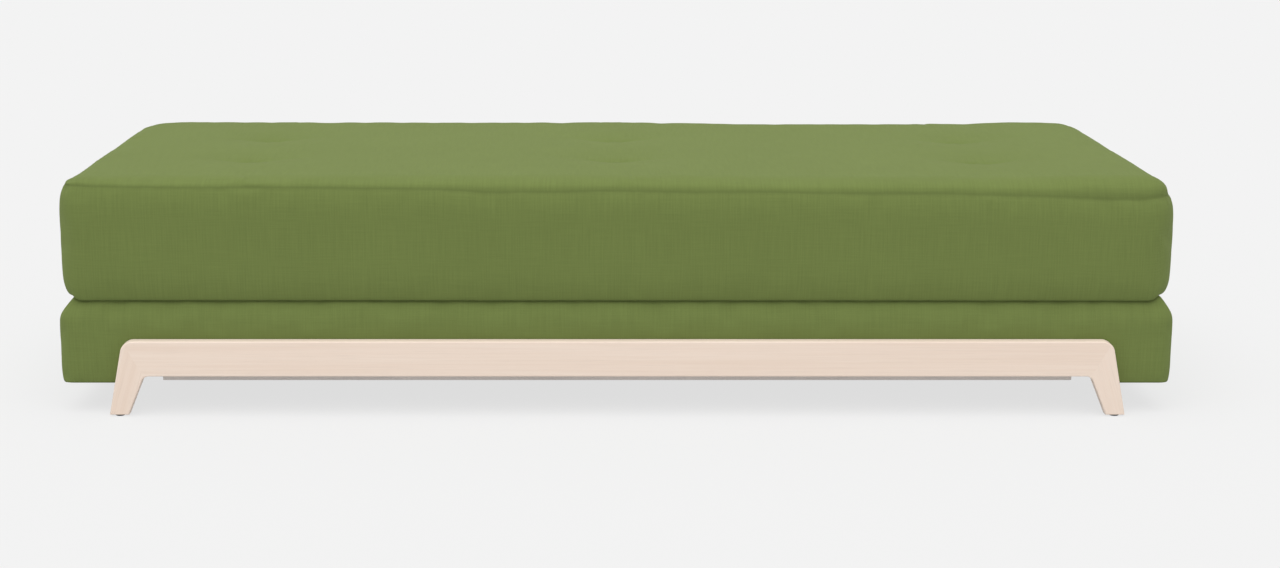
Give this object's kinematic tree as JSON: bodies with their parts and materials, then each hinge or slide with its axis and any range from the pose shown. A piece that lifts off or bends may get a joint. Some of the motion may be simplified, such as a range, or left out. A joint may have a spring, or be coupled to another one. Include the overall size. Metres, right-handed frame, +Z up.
{
  "type": "sofa bed",
  "caption": "Backless daybed sofa: a tufted fabric mattress on an upholstered base with splay-legged wooden trestles; the mattress folds out over the front edge.",
  "frame": {"origin": "on the floor, under the middle of the base", "axes": "+X along the length to the right end, -Y towards the front edge over which the mattress folds, +Z up"},
  "size_m": [2, 0.8446, 0.4249],
  "materials": {
    "cover_fabric": "matte",
    "button_fabric": "matte",
    "zip_tape": "matte",
    "pale_wood": "satin",
    "frame_pine": "matte",
    "slat_beech": "satin",
    "foam": "matte",
    "wadding": "matte",
    "dust_cloth": "matte",
    "grey_steel": "satin",
    "zinc_steel": "satin",
    "zip_metal": "satin",
    "glide_plastic": "matte",
    "tuft_twine": "matte"
  },
  "bodies": {
    "base": {"base_side_cover": "cover_fabric", "base_top_panel": "cover_fabric", "front_rail": "pale_wood", "rear_rail": "pale_wood", "front_leg_left": "pale_wood", "front_leg_right": "pale_wood", "rear_leg_left": "pale_wood", "rear_leg_right": "pale_wood", "box_front_board": "frame_pine", "box_rear_board": "frame_pine", "box_left_board": "frame_pine", "box_right_board": "frame_pine", "corner_blocks": "frame_pine", "slat_ledge_front": "frame_pine", "slat_ledge_rear": "frame_pine", "centre_beam": "frame_pine", "cross_tie_left": "frame_pine", "cross_tie_right": "frame_pine", "slat_01": "slat_beech", "slat_02": "slat_beech", "slat_03": "slat_beech", "slat_04": "slat_beech", "slat_05": "slat_beech", "slat_06": "slat_beech", "slat_07": "slat_beech", "slat_08": "slat_beech", "slat_09": "slat_beech", "slat_10": "slat_beech", "slat_11": "slat_beech", "slat_12": "slat_beech", "slat_13": "slat_beech", "leg_dowels": "slat_beech", "base_foam": "foam", "box_wrap": "wadding", "dust_cover": "dust_cloth", "front_angle": "grey_steel", "rear_angle": "grey_steel", "rail_bolts": "zinc_steel", "bolt_washers": "zinc_steel", "rail_inserts": "zinc_steel", "corner_screws": "zinc_steel", "front_glide_left": "glide_plastic", "front_glide_right": "glide_plastic", "rear_glide_left": "glide_plastic", "rear_glide_right": "glide_plastic"},
    "fold_strip_lower": {"fold_strip_lower": "cover_fabric"},
    "mattress": {"mattress_foam": "foam", "mattress_wadding": "wadding", "mattress_bottom_panel": "cover_fabric", "mattress_border": "cover_fabric", "mattress_top_panel": "cover_fabric", "tuft_buttons": "button_fabric", "tuft_cords": "tuft_twine", "tuft_anchors": "glide_plastic", "zip_tape": "zip_tape"},
    "fold_strip_upper": {"fold_strip_upper": "cover_fabric"},
    "zip_slider": {"zip_slider": "zip_metal"},
    "zip_pull": {"zip_pull": "zip_metal"}
  },
  "joints": [
    {"name": "mattress_fold", "type": "hinge", "parent": "base", "child": "mattress", "pos_m": [0, -0.416, 0.21505], "axis": [1, 0, 0], "range_deg": [0, 180]},
    {"name": "strip_lower_fold", "type": "hinge", "parent": "base", "child": "fold_strip_lower", "pos_m": [0, -0.378, 0.2142], "axis": [1, 0, 0], "range_deg": [0, 180]},
    {"name": "strip_upper_fold", "type": "hinge", "parent": "mattress", "child": "fold_strip_upper", "pos_m": [0, -0.378, 0.2159], "axis": [1, 0, 0], "range_deg": [-180, 0]},
    {"name": "zip_slide", "type": "slide", "parent": "mattress", "child": "zip_slider", "axis": [1, 0, 0], "range_m": [0, 1.174]},
    {"name": "zip_pull_turn", "type": "hinge", "parent": "zip_slider", "child": "zip_pull", "pos_m": [-0.587, 0.4068, 0.3169], "axis": [0, 0, 1], "range_deg": [0, 180]}
  ],
  "couplings": [
    {"joint": "strip_lower_fold", "follows": "mattress_fold", "ratio": 1},
    {"joint": "strip_upper_fold", "follows": "mattress_fold", "ratio": -1}
  ]
}
